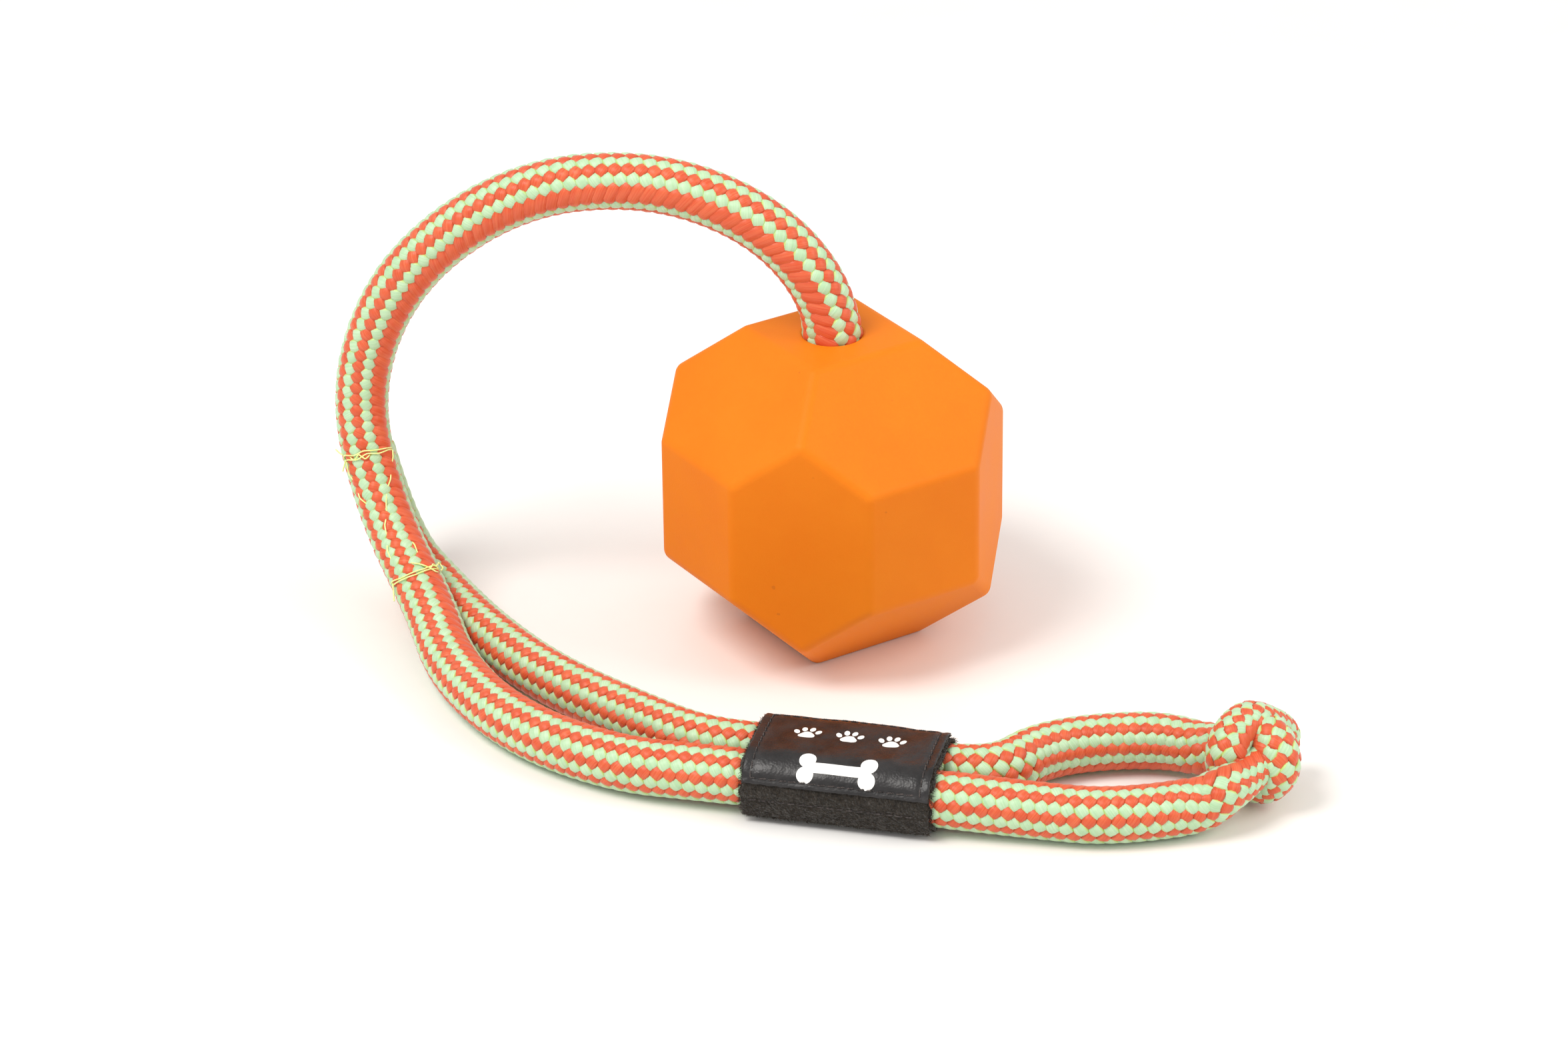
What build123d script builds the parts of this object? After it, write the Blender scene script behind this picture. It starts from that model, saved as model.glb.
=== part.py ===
from build123d import *

import math
import os

# Dog training bumper: a faceted rubber ball on a braided rope, whose end is turned back into a hand loop.
# Millimetres, +Z up. The origin is the centre of the ball's bottom face, which stands on the floor.

os.makedirs("parts", exist_ok=True)

# --- Driving dimensions -------------------------------------------------------------------------------

ball_width = 60.0  # across opposite square faces
chamfer_ratio = 1.394  # |x| + |y| on the hexagons' planes, over half the ball's width
ball_yaw = 32.6  # how far the ball is turned on the floor, degrees
edge_round = 2.4
rope_d = 10.0
bore_clearance = 0.35  # between the rope and the wall of the ball's bore
mouth_round = 0.8
chamber_d = 25.0  # hollow for the stop knot
chamber_bottom = 18.0
chamber_top = 40.0
chamber_round = 6.0
stop_knot_d = 22.0
stop_knot_bottom = 20.5
stop_knot_top = 38.0
stop_knot_round = 6.5

sleeve_centre = Vector(1.52, -67.4, 5.95)  # midway between the two strands inside the sleeve
sleeve_yaw = -14.04  # the strands' direction there, degrees
sleeve_length = 34.0
strand_spacing = 10.1
wrap_clearance = 0.2  # rope to band
band_wall = 0.6
hook_depth = 0.3  # the hook strip is let into the band by this much
flap_gap = 0.15  # band to flap
backing_wall = 0.35
label_wall = 0.3
print_wall = 0.06
print_angle = 12.0  # the film the print is cut from starts here, past the top of the rear strand
flap_inset = 0.4  # the flap is this much shorter than the band at each end
rear_angle = 30.0  # the flap's sewn edge, past the top of the rear strand
free_angle = -28.0  # the flap's free edge, below the front of the front strand
label_angle = 22.0  # the label's lower edge, above the front of the front strand
hook_angle = 24.0  # the hook strip's upper edge, above the front of the front strand
paw_count = 3
paw_pitch = 7.6
paw_pad = 1.35
paw_toe = 0.62
paw_y = -0.5
bone_angle = 57.0  # the bone's middle, above the front of the front strand
bone_length = 11.0
bone_width = 1.9

knot_turns = ((68.4, -65.8), (76.4, -67.2))  # x and y of the handle knot's two turns
knot_z = 8.75
knot_turn_r = 4.4
knot_rope_r = 4.3
knot_core_r = 3.0

seam_thread_r = 0.3  # the thick thread that sews the splice
label_thread_r = 0.16
thread_gap = 0.02
stitch_pitch = 2.2
seam_margin = 1.5  # from the flap's ends to the seams along them
seam_margin_angle = 9.0  # from the label's long edges to the seams along them
strip_seam_angle = -6.0  # below the front of the front strand

# --- The rope's route ---------------------------------------------------------------------------------

# From the stop knot, up out of the ball, over in a standing arch, down to the splice, along the floor
# through the sleeve and into the handle knot.
lead_route = [
    (0, 0, 38),
    (0, 0, 67),
    (-12, 3, 81.5),
    (-33, 8, 88),
    (-58, 12, 84),
    (-80, 16, 66),
    (-89.5, 17.5, 41),
    (-84, 9, 19),
    (-75, -9, 9.5),
    (-70, -27, 5.3),
    (-58, -47.5, 5.1),
    (-40, -61.5, 5.3),
    (-23.5, -66.35, 5.95),
    (21.5, -77.6, 5.95),
    (34, -79.6, 5.2),
    (46, -82, 5.1),
    (60.5, -79, 5.2),
    (66.5, -71, 6.5),
]
# From the handle knot back along the floor, through the sleeve, and up behind the splice.
return_route = [
    (66, -61, 6.5),
    (56, -53, 5.3),
    (36.5, -57.5, 5.1),
    (27.5, -68.69, 5.95),
    (-24.5, -55.69, 5.95),
    (-36, -45, 5.2),
    (-52, -30, 5.1),
    (-64, -13, 5.1),
    (-73, 4, 5.2),
    (-82.5, 15.5, 11),
    (-87, 23, 26),
]
upper_seam = 6  # the lead's run from this corner to the next carries the upper seam
lower_seam = 7
lap_start = 7  # the return's run from this corner to the next enters the splice


def bend_radii(route):
    """The largest arc that each corner of the route has room for."""
    radii = []
    for before, corner, after in zip(route, route[1:], route[2:]):
        run_in = Vector(corner) - Vector(before)
        run_out = Vector(after) - Vector(corner)
        half_turn = math.radians(run_in.get_angle(run_out)) / 2
        radii.append(0.45 * min(run_in.length, run_out.length) / math.tan(half_turn))
    return radii


def middle(a, b):
    return (Vector(a) + Vector(b)) * 0.5


def stretch(route, first, last):
    """Corners first to last of a route, cut off square in the middle of the runs beside them."""
    start = route[0] if first == 1 else middle(route[first - 1], route[first])
    end = route[-1] if last == len(route) - 2 else middle(route[last], route[last + 1])
    return [start, *route[first : last + 1], end], bend_radii(route)[first - 1 : last]


def seam_plane(run):
    """A plane square across the lead in the middle of one run, whose y axis points up."""
    a, b = Vector(lead_route[run]), Vector(lead_route[run + 1])
    along = (b - a).normalized()
    return Plane(origin=middle(a, b), x_dir=Vector(0, 0, 1).cross(along), z_dir=along)


def report_tube(name, centreline, tube):
    """Prints a tube's length, and its volume over its section, which should be the same."""
    section = math.pi * rope_d**2 / 4
    print(name, "length", round(centreline.length, 1), "volume / section", round(tube.volume / section, 1))


for name, route in (("lead", lead_route), ("return", return_route)):
    print(name, "bend radii", [round(r, 1) for r in bend_radii(route)])

# --- Ball ---------------------------------------------------------------------------------------------

half = ball_width / 2
hexagon_distance = chamfer_ratio * half / math.sqrt(2)
bore_d = rope_d + 2 * bore_clearance
ball_plane = Plane(origin=(0, 0, half), x_dir=Vector(1, 0, 0).rotate(Axis.Z, ball_yaw), z_dir=(0, 0, 1))
cube_edges = ((0, 1, 1), (0, 1, -1), (1, 0, 1), (1, 0, -1), (1, 1, 0), (1, -1, 0))

with BuildPart(ball_plane) as ball:
    Box(ball_width, ball_width, ball_width)
    for direction in cube_edges:
        for side in (1, -1):
            normal = Vector(direction).normalized().rotate(Axis.Z, ball_yaw) * side
            hexagon = Plane(origin=ball_plane.origin + normal * hexagon_distance, z_dir=normal)
            split(bisect_by=hexagon, keep=Keep.BOTTOM)
    fillet(ball.edges(), edge_round)
    with BuildSketch(Plane.XZ):
        with Locations((0, (chamber_bottom + chamber_top) / 2)):
            RectangleRounded(chamber_d, chamber_top - chamber_bottom, chamber_round)
        with Locations((0, (chamber_top + ball_width) / 2 - mouth_round)):
            Rectangle(bore_d, ball_width - chamber_top + 2 * mouth_round)
        split(bisect_by=Plane.YZ)
    revolve(axis=Axis.Z, mode=Mode.SUBTRACT)
    mouth = ball.edges().filter_by(GeomType.CIRCLE).group_by(Axis.Z)[-1]
    fillet(mouth, mouth_round)
ball.part.label = "ball"
export_step(ball.part, "parts/ball.step")

# --- Rope ---------------------------------------------------------------------------------------------

with BuildPart() as stop_knot:
    with BuildSketch(Plane.XZ):
        with Locations((0, (stop_knot_bottom + stop_knot_top) / 2)):
            RectangleRounded(stop_knot_d, stop_knot_top - stop_knot_bottom, stop_knot_round)
        split(bisect_by=Plane.YZ)
    revolve(axis=Axis.Z)
stop_knot.part.label = "stop_knot"
export_step(stop_knot.part, "parts/stop_knot.step")

with BuildPart() as rope_lead:
    corners, radii = stretch(lead_route, 1, upper_seam)
    with BuildLine():
        centreline = FilletPolyline(*corners, radius=radii)
    with BuildSketch(centreline ^ 0):
        Circle(rope_d / 2)
    sweep(path=centreline)
report_tube("rope_lead", centreline, rope_lead.part)
rope_lead.part.label = "rope_lead"
export_step(rope_lead.part, "parts/rope_lead.step")

with BuildPart() as rope_splice:
    corners, radii = stretch(lead_route, lower_seam, lower_seam)
    with BuildLine():
        centreline = FilletPolyline(*corners, radius=radii)
    with BuildSketch(centreline ^ 0):
        Circle(rope_d / 2)
    sweep(path=centreline)
report_tube("rope_splice", centreline, rope_splice.part)
rope_splice.part.label = "rope_splice"
export_step(rope_splice.part, "parts/rope_splice.step")

with BuildPart() as front_strand:
    corners, radii = stretch(lead_route, lower_seam + 1, len(lead_route) - 2)
    with BuildLine():
        centreline = FilletPolyline(*corners, radius=radii)
    with BuildSketch(centreline ^ 0):
        Circle(rope_d / 2)
    sweep(path=centreline)
report_tube("front_strand", centreline, front_strand.part)
front_strand.part.label = "front_strand"
export_step(front_strand.part, "parts/front_strand.step")

with BuildPart() as back_strand:
    corners, radii = stretch(return_route, 1, lap_start)
    with BuildLine():
        centreline = FilletPolyline(*corners, radius=radii)
    with BuildSketch(centreline ^ 0):
        Circle(rope_d / 2)
    sweep(path=centreline)
report_tube("back_strand", centreline, back_strand.part)
back_strand.part.label = "back_strand"
export_step(back_strand.part, "parts/back_strand.step")

with BuildPart() as rope_tail:
    corners, radii = stretch(return_route, lap_start + 1, len(return_route) - 2)
    with BuildLine():
        centreline = FilletPolyline(*corners, radius=radii)
    with BuildSketch(centreline ^ 0):
        Circle(rope_d / 2)
    sweep(path=centreline)
report_tube("rope_tail", centreline, rope_tail.part)
rope_tail.part.label = "rope_tail"
export_step(rope_tail.part, "parts/rope_tail.step")

# The knot's outer shape: two turns of rope side by side, with the crossing strand filling their middles.
with BuildPart() as handle_knot:
    for x, y in knot_turns:
        with Locations(Location((x, y, knot_z), (0, 90, 0))):
            Torus(knot_turn_r, knot_rope_r)
            Cylinder(knot_core_r, 2 * knot_rope_r)
    add(front_strand.part, mode=Mode.SUBTRACT)
    add(back_strand.part, mode=Mode.SUBTRACT)
handle_knot.part.label = "handle_knot"
export_step(handle_knot.part, "parts/handle_knot.step")

# --- Splice sewing ------------------------------------------------------------------------------------

seam_r = rope_d / 2 + 2 * seam_thread_r + 0.05  # the stitches' middles lie on this circle round the rope
seam_step = 30.0  # degrees round the rope from one stitch to the next
seam_stitches = 7
seam_start = 26.0  # the first stitch, so that the row lies on the side away from the tail
seam_stitch_length = 2 * seam_r * math.sin(math.radians(seam_step / 2)) - 0.1

with BuildPart() as upper_seam_thread:
    with Locations(seam_plane(upper_seam)):
        with PolarLocations(seam_r, seam_stitches, seam_start, seam_step * seam_stitches):
            Cylinder(seam_thread_r, seam_stitch_length, rotation=(90, 0, 0))
upper_seam_thread.part.label = "upper_seam_thread"
export_step(upper_seam_thread.part, "parts/upper_seam_thread.step")

with BuildPart() as lower_seam_thread:
    with Locations(seam_plane(lower_seam)):
        with PolarLocations(seam_r, seam_stitches, seam_start, seam_step * seam_stitches):
            Cylinder(seam_thread_r, seam_stitch_length, rotation=(90, 0, 0))
lower_seam_thread.part.label = "lower_seam_thread"
export_step(lower_seam_thread.part, "parts/lower_seam_thread.step")

# --- Sleeve -------------------------------------------------------------------------------------------

# In this plane x points back across the strands, y points up and z runs along them to the right.
along = Vector(1, 0, 0).rotate(Axis.Z, sleeve_yaw)
wrap_plane = Plane(origin=sleeve_centre, x_dir=along.rotate(Axis.Z, 90), z_dir=along)
centre_x = strand_spacing / 2
front_axis = sleeve_centre - wrap_plane.x_dir * centre_x
band_inner = rope_d / 2 + wrap_clearance
band_outer = band_inner + band_wall
hook_inner = band_outer - hook_depth
backing_inner = band_outer + flap_gap
label_inner = backing_inner + backing_wall
print_inner = label_inner + label_wall
flap_length = sleeve_length - 2 * flap_inset


def rear_point(r, angle):
    """A point round the rear strand, angle degrees past its top."""
    return (centre_x + r * math.sin(math.radians(angle)), r * math.cos(math.radians(angle)))


def front_point(r, angle):
    """A point round the front strand, angle degrees above its front."""
    return (-centre_x - r * math.cos(math.radians(angle)), r * math.sin(math.radians(angle)))


def layer(inner, outer, rear, front):
    """The outline of one layer of the wrap, from its rear edge over the top to its front edge."""
    with BuildLine() as outline:
        for r in (inner, outer):
            Line((-centre_x, r), (centre_x, r))
            ThreePointArc((centre_x, r), rear_point(r, rear / 2), rear_point(r, rear))
            ThreePointArc((-centre_x, r), front_point(r, (front + 90) / 2), front_point(r, front))
        Line(rear_point(inner, rear), rear_point(outer, rear))
        Line(front_point(inner, front), front_point(outer, front))
    return outline.edges()


def front_layer(inner, outer, top, bottom):
    """The outline of a strip that lies round the front strand only."""
    with BuildLine() as outline:
        for r in (inner, outer):
            ThreePointArc(front_point(r, top), front_point(r, (top + bottom) / 2), front_point(r, bottom))
        for angle in (top, bottom):
            Line(front_point(inner, angle), front_point(outer, angle))
    return outline.edges()


with BuildPart() as band:
    with BuildSketch(wrap_plane):
        SlotCenterToCenter(strand_spacing, 2 * band_outer)
        SlotCenterToCenter(strand_spacing, 2 * band_inner, mode=Mode.SUBTRACT)
        make_face(front_layer(hook_inner, band_outer + flap_gap, hook_angle, free_angle), mode=Mode.SUBTRACT)
    extrude(amount=sleeve_length / 2, both=True)
band.part.label = "band"
export_step(band.part, "parts/band.step")

with BuildPart() as hook_strip:
    with BuildSketch(wrap_plane):
        make_face(front_layer(hook_inner, band_outer, hook_angle, free_angle))
    extrude(amount=sleeve_length / 2, both=True)
hook_strip.part.label = "hook_strip"
export_step(hook_strip.part, "parts/hook_strip.step")

with BuildPart() as flap_backing:
    with BuildSketch(wrap_plane):
        make_face(layer(backing_inner, label_inner, rear_angle, free_angle))
    extrude(amount=flap_length / 2, both=True)
flap_backing.part.label = "flap_backing"
export_step(flap_backing.part, "parts/flap_backing.step")

with BuildPart() as label_panel:
    with BuildSketch(wrap_plane):
        make_face(layer(label_inner, print_inner, rear_angle, label_angle))
    extrude(amount=flap_length / 2, both=True)
label_panel.part.label = "label_panel"
export_step(label_panel.part, "parts/label_panel.step")

# The print is a row of paws on the label's flat top and a bone below them, a film as thick as paint.
paw_plane = Plane(origin=sleeve_centre, x_dir=along, z_dir=(0, 0, 1))
bone_normal = Vector(0, 0, 1).rotate(Axis(sleeve_centre, along), 90 - bone_angle)
bone_plane = Plane(origin=front_axis, x_dir=along, z_dir=bone_normal)
film_reach = 3 * rope_d

with BuildPart() as label_print:
    with BuildSketch(wrap_plane):
        make_face(layer(print_inner, print_inner + print_wall, print_angle, label_angle))
    extrude(amount=flap_length / 2, both=True)
    with BuildSketch(paw_plane):
        with GridLocations(paw_pitch, 1, paw_count, 1):
            with Locations((0, paw_y)):
                Ellipse(paw_pad, paw_pad * 0.85)
            with PolarLocations(paw_pad * 1.85, 4, 15, 200):
                Circle(paw_toe)
    with BuildSketch(bone_plane):
        Rectangle(bone_length, bone_width)
        with GridLocations(bone_length, 1.5 * bone_width, 2, 2):
            Circle(bone_width * 0.8)
    extrude(amount=film_reach, mode=Mode.INTERSECT)
label_print.part.label = "label_print"
export_step(label_print.part, "parts/label_print.step")

# --- Label sewing -------------------------------------------------------------------------------------

# Running stitches: short threads end to end, lying on the label or on the backing below it.
stitch_length = 0.72 * stitch_pitch
row_count = int((flap_length - 2 * seam_margin) / stitch_pitch)
row = [(i - (row_count - 1) / 2) * stitch_pitch for i in range(row_count)]
label_seat = print_inner + label_thread_r + thread_gap
strip_seat = label_inner + label_thread_r + thread_gap
top_x, top_y = rear_point(label_seat, rear_angle - seam_margin_angle)
bottom_x, bottom_y = front_point(label_seat, label_angle + seam_margin_angle)
strip_x, strip_y = front_point(strip_seat, strip_seam_angle)

with BuildPart(wrap_plane) as top_seam:
    with Locations(*((top_x, top_y, z) for z in row)):
        Cylinder(label_thread_r, stitch_length)
top_seam.part.label = "top_seam"
export_step(top_seam.part, "parts/top_seam.step")

with BuildPart(wrap_plane) as bottom_seam:
    with Locations(*((bottom_x, bottom_y, z) for z in row)):
        Cylinder(label_thread_r, stitch_length)
bottom_seam.part.label = "bottom_seam"
export_step(bottom_seam.part, "parts/bottom_seam.step")

with BuildPart(wrap_plane) as strip_seam:
    with Locations(*((strip_x, strip_y, z) for z in row)):
        Cylinder(label_thread_r, stitch_length)
strip_seam.part.label = "strip_seam"
export_step(strip_seam.part, "parts/strip_seam.step")

# The two end seams cross the flat top and go down round the front strand.
flat_count = int(strand_spacing / stitch_pitch)
flat_stations = [((i - (flat_count - 1) / 2) * stitch_pitch, label_seat, 0) for i in range(flat_count)]
turn_step = math.degrees(stitch_pitch / label_seat)
turn_count = int((90 - label_angle) / turn_step)
turn_angles = [90 - (i + 0.5) * turn_step for i in range(turn_count)]
turn_stations = [(*front_point(label_seat, angle), 90 - angle) for angle in turn_angles]

for name, side in (("left_seam", -1), ("right_seam", 1)):
    z = side * (flap_length / 2 - seam_margin)
    with BuildPart(wrap_plane) as end_seam:
        with Locations(*(Location((x, y, z), (0, 0, turn)) for x, y, turn in flat_stations + turn_stations)):
            Cylinder(label_thread_r, stitch_length, rotation=(0, 90, 0))
    end_seam.part.label = name
    export_step(end_seam.part, f"parts/{name}.step")
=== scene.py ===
import math

import bmesh
import bpy
import numpy as np
from mathutils import Matrix, Vector


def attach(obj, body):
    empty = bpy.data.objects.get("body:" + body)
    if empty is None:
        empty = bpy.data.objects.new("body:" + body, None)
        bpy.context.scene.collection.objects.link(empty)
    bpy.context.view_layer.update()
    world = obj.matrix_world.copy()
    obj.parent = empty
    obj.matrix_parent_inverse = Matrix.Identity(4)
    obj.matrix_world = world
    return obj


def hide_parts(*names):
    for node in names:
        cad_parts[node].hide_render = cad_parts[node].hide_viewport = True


# Dog training bumper: a faceted rubber ball on a braided rope, with a sewn and knotted hand loop and a label
# sleeve round the loop.
# Metres, +Z up. The origin is the centre of the ball's bottom face, which stands on the floor.

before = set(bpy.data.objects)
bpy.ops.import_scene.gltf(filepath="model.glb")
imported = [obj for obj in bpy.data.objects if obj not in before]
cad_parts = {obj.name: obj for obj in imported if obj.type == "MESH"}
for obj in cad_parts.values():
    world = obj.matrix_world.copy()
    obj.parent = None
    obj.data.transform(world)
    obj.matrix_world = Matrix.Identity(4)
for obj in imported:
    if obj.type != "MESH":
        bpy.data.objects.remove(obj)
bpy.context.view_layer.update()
MM = 0.001

# --- The rope's route ---------------------------------------------------------------------------------

lead_points = [
    (0.0000, 0.0000, 0.0380),
    (0.0000, 0.0000, 0.0500),
    (0.0000, 0.0000, 0.0670),
    (-0.0120, 0.0030, 0.0815),
    (-0.0330, 0.0080, 0.0880),
    (-0.0580, 0.0120, 0.0840),
    (-0.0800, 0.0160, 0.0660),
    (-0.0895, 0.0175, 0.0410),
    (-0.0840, 0.0090, 0.0190),
    (-0.0750, -0.0090, 0.0095),
    (-0.0700, -0.0270, 0.0053),
    (-0.0580, -0.0475, 0.0051),
    (-0.0400, -0.0615, 0.0053),
    (-0.0235, -0.06635, 0.00595),
    (-0.0071, -0.07045, 0.00595),
    (0.0089, -0.07445, 0.00595),
    (0.0215, -0.0776, 0.00595),
    (0.0340, -0.0796, 0.0052),
    (0.0460, -0.0820, 0.0051),
]
# The overhand knot: in over the bottom turn, up behind, down the left lobe, under, up the right lobe, and out
# behind.
knot_points = [
    (0.0624, -0.0789, 0.0052),
    (0.0662, -0.0784, 0.0078),
    (0.0706, -0.0746, 0.0084),
    (0.0745, -0.0698, 0.0100),
    (0.0778, -0.0626, 0.0083),
    (0.0780, -0.0612, 0.0100),
    (0.0736, -0.0655, 0.0142),
    (0.0708, -0.0669, 0.0153),
    (0.0678, -0.0707, 0.0136),
    (0.0673, -0.0722, 0.0098),
    (0.0690, -0.0660, 0.0038),
    (0.0724, -0.0692, 0.0042),
    (0.0751, -0.0705, 0.0049),
    (0.0766, -0.0720, 0.0090),
    (0.0761, -0.0705, 0.0120),
    (0.0743, -0.0669, 0.0133),
    (0.0726, -0.0642, 0.0086),
    (0.0659, -0.0606, 0.0058),
]
return_points = [
    (0.0560, -0.0548, 0.0054),
    (0.0365, -0.0575, 0.0053),
    (0.0275, -0.06869, 0.00595),
    (0.0135, -0.0652, 0.00595),
    (-0.0106, -0.05916, 0.00595),
    (-0.0245, -0.05569, 0.00595),
    (-0.0360, -0.0450, 0.0052),
    (-0.0520, -0.0300, 0.0051),
    (-0.0640, -0.0130, 0.0051),
    (-0.0730, 0.0040, 0.0052),
    (-0.0825, 0.0155, 0.0110),
    (-0.0870, 0.0230, 0.0260),
]
# The stop knot, wound up inside the ball's chamber.
stop_points = [
    (0.0000, 0.0000, 0.0400),
    (0.0000, 0.0000, 0.0330),
    (0.0030, -0.0040, 0.0265),
    (0.0082, -0.0020, 0.0245),
    (0.0060, 0.0072, 0.0250),
    (-0.0040, 0.0086, 0.0265),
    (-0.0090, 0.0000, 0.0290),
    (-0.0050, -0.0084, 0.0310),
    (0.0050, -0.0080, 0.0322),
    (0.0082, -0.0006, 0.0318),
]

rope_outer = 5.05 * MM
core_r = 3.85 * MM
step = 0.30 * MM
yarns = 8  # of each hand
lay_length = 18.4 * MM  # one turn of a yarn round the rope
knot_lay_length = 14.0 * MM
yarn_r = 4.20 * MM  # the middle layer, about which the yarns pass over and under
yarn_rise = 0.38 * MM
yarn_half_width = 1.12 * MM
yarn_half_thick = 0.47 * MM
top_swell = 0.14  # a yarn is this much wider on top than halfway, and this much narrower underneath
knot_swell = 0.32  # and this much wider where the knot pulls the rope round tight bends
fibre_run = 1.6  # stretches the fibre pattern along the yarns
fibre_shift = 1.7  # sets the pattern of one yarn apart from the next
# Which hand lies on top in each of the 16 columns round the rope: +1 green, -1 orange.
column_top = np.array([-1, -1, 1, -1, 1, -1, 1, -1, 1, 1, -1, 1, -1, 1, -1, 1], float)


def route_line(name, points):
    """The points down the middle of the NURBS spline that has the route's points as its control points."""
    curve = bpy.data.curves.new(name, "CURVE")
    curve.dimensions = "3D"
    curve.resolution_u = 40
    spline = curve.splines.new("NURBS")
    spline.points.add(len(points) - 1)
    for control, place in zip(spline.points, points):
        control.co = (*place, 1.0)
    spline.order_u = 3
    spline.use_endpoint_u = True
    holder = bpy.data.objects.new(name, curve)
    mesh = bpy.data.meshes.new_from_object(holder)
    line = np.array([v.co for v in mesh.vertices], float)
    bpy.data.meshes.remove(mesh)
    bpy.data.objects.remove(holder)
    bpy.data.curves.remove(curve)
    return line


def unit(v):
    return v / np.maximum(np.linalg.norm(v, axis=-1, keepdims=True), 1e-12)


class Rope:
    """A rope's centreline at even steps, with two directions across it that don't twist about it."""

    def __init__(self, name, points):
        self.line = route_line(name, points)
        along = np.concatenate([[0], np.cumsum(np.linalg.norm(np.diff(self.line, axis=0), axis=1))])
        self.length = along[-1]
        self.s = np.linspace(0, self.length, int(self.length / step))
        self.p = np.stack([np.interp(self.s, along, self.line[:, k]) for k in range(3)], axis=1)
        self.tangent = unit(np.gradient(self.p, axis=0))
        side = np.zeros_like(self.p)
        side[0] = unit(np.cross(self.tangent[0], (0.0, 1.0, 0.0)))
        for i in range(1, len(self.p)):
            across = side[i - 1] - self.tangent[i] * (side[i - 1] @ self.tangent[i])
            side[i] = across / np.linalg.norm(across)
        self.side = side
        self.up = np.cross(self.tangent, side)
        self.scale = np.ones(len(self.s))
        self.roll = np.zeros(len(self.s))
        self.tight = np.zeros(len(self.s))
        self.lay = 2 * math.pi * self.s / lay_length

    def at(self, place, start=0.0):
        """How far along the rope it passes nearest to a place, looked for from start on."""
        away = np.linalg.norm(self.p - np.array(place), axis=1)
        away[self.s < start] = 1.0
        return self.s[away.argmin()]

    def thin(self, radii):
        """Sets the rope's outer radius from (place, millimetres), in order along the rope."""
        at, scale = [], []
        for place, radius in radii:
            at.append(self.at(place, at[-1] if at else 0.0))
            scale.append(radius * MM / rope_outer)
        self.scale = np.interp(self.s, at, scale)

    def turn(self, rolls):
        """Turns the columns of the braid about the rope: (place, degrees), in order along the rope."""
        at, roll = [], []
        for place, degrees in rolls:
            at.append(self.at(place, at[-1] if at else 0.0))
            roll.append(math.radians(degrees))
        self.roll = np.interp(self.s, at, roll)

    def tighten(self, first, last):
        """Shortens the lay between two places, where the rope is pulled tight in a knot."""
        start = self.at(first)
        end = self.at(last, start)
        ease = 3.0 * MM
        self.tight = np.interp(self.s, [start - ease, start + ease, end - ease, end + ease], [0, 1, 1, 0])
        turns = 1 / lay_length + self.tight * (1 / knot_lay_length - 1 / lay_length)
        self.lay = 2 * math.pi * np.cumsum(turns) * (self.s[1] - self.s[0])

    def around(self, s, angle, r):
        """Points at the distances s along the rope, at angle round it and r from its middle."""
        p = np.stack([np.interp(s, self.s, self.p[:, k]) for k in range(3)], axis=1)
        side = np.stack([np.interp(s, self.s, self.side[:, k]) for k in range(3)], axis=1)
        up = np.stack([np.interp(s, self.s, self.up[:, k]) for k in range(3)], axis=1)
        out = np.cos(angle)[:, None] * side + np.sin(angle)[:, None] * up
        return p + out * np.asarray(r)[:, None]


# --- Meshes -------------------------------------------------------------------------------------------


def mesh_piece(name, verts, faces, material, body, attributes=()):
    """A smooth mesh with its normals outward, riding on a CAD body."""
    mesh = bpy.data.meshes.new(name)
    mesh.from_pydata(np.asarray(verts).tolist(), [], faces if isinstance(faces, list) else faces.tolist())
    mesh.polygons.foreach_set("use_smooth", [True] * len(mesh.polygons))
    for label, values in attributes:
        layer = mesh.attributes.new(label, "FLOAT_VECTOR", "POINT")
        layer.data.foreach_set("vector", np.asarray(values, np.float32).ravel())
    mesh.materials.append(material)
    mesh.validate()
    obj = bpy.data.objects.new(name, mesh)
    bpy.context.scene.collection.objects.link(obj)
    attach(obj, body)
    return obj


def tube_faces(rings, sides, first=0):
    """Quads between rings of sides points each, and an end face on the first and last ring."""
    i, j = np.meshgrid(np.arange(rings - 1), np.arange(sides), indexing="ij")
    a = first + i * sides + j
    b = first + i * sides + (j + 1) % sides
    quads = np.stack([a, b, b + sides, a + sides], axis=-1).reshape(-1, 4).tolist()
    last = first + (rings - 1) * sides
    return quads + [list(range(first + sides - 1, first - 1, -1)), list(range(last, last + sides))]


def tube(line, radius, sides):
    """Vertices of a tube along line. radius is one number or one per point."""
    tangent = unit(np.gradient(line, axis=0))
    side = np.zeros_like(line)
    helper = np.array((0.0, 0.0, 1.0)) if abs(tangent[0][2]) < 0.9 else np.array((1.0, 0.0, 0.0))
    side[0] = unit(np.cross(tangent[0], helper))
    for i in range(1, len(line)):
        side[i] = unit(side[i - 1] - tangent[i] * (side[i - 1] @ tangent[i]))
    up = np.cross(tangent, side)
    angle = np.linspace(0, 2 * math.pi, sides, endpoint=False)
    radius = np.broadcast_to(np.asarray(radius, float), (len(line),))
    ring = np.cos(angle)[None, :, None] * side[:, None] + np.sin(angle)[None, :, None] * up[:, None]
    return (line[:, None] + ring * radius[:, None, None]).reshape(-1, 3)


def tubes_piece(name, lines, radius, sides, material, body):
    """One mesh of many thin tubes."""
    verts, faces, first = [], [], 0
    for line in lines:
        points = tube(np.asarray(line, float), radius, sides)
        verts.append(points)
        faces += tube_faces(len(line), sides, first)
        first += len(points)
    return mesh_piece(name, np.concatenate(verts), faces, material, body)


# --- Materials ----------------------------------------------------------------------------------------


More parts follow.
